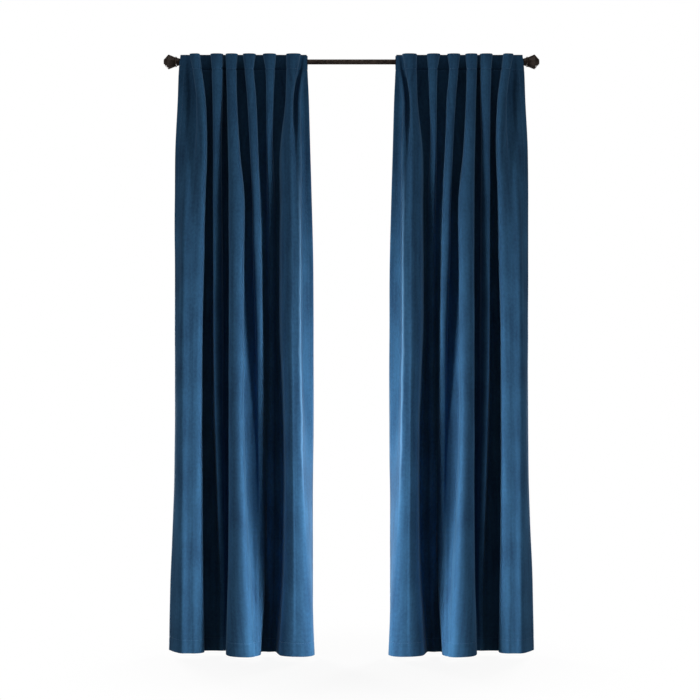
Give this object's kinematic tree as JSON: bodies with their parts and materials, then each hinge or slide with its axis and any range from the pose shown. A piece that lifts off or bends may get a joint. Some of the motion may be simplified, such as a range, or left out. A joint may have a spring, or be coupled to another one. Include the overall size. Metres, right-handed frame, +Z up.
{
  "type": "velvet curtain pair on a curtain rod",
  "caption": "Pair of blue velvet back-tab curtain panels hanging in deep uneven folds from a thin dark bronze rod with faceted finials.",
  "frame": {"origin": "on the rod's axis at mid-length", "axes": "X runs along the rod, -Y is the side that faces the room, +Z is up"},
  "size_m": [1.342, 0.1644, 2.1383],
  "materials": {
    "velvet": "matte",
    "dark_bronze": "satin"
  },
  "bodies": {
    "root": {"rod": "dark_bronze", "finial_left": "dark_bronze", "collar_left": "dark_bronze", "panel_left": "velvet", "heading_left": "velvet", "tab_left_1": "velvet", "tab_left_2": "velvet", "tab_left_3": "velvet", "tab_left_4": "velvet", "tab_left_5": "velvet", "tab_left_6": "velvet", "tab_left_7": "velvet", "finial_right": "dark_bronze", "collar_right": "dark_bronze", "panel_right": "velvet", "heading_right": "velvet", "tab_right_1": "velvet", "tab_right_2": "velvet", "tab_right_3": "velvet", "tab_right_4": "velvet", "tab_right_5": "velvet", "tab_right_6": "velvet", "tab_right_7": "velvet"}
  },
  "joints": []
}
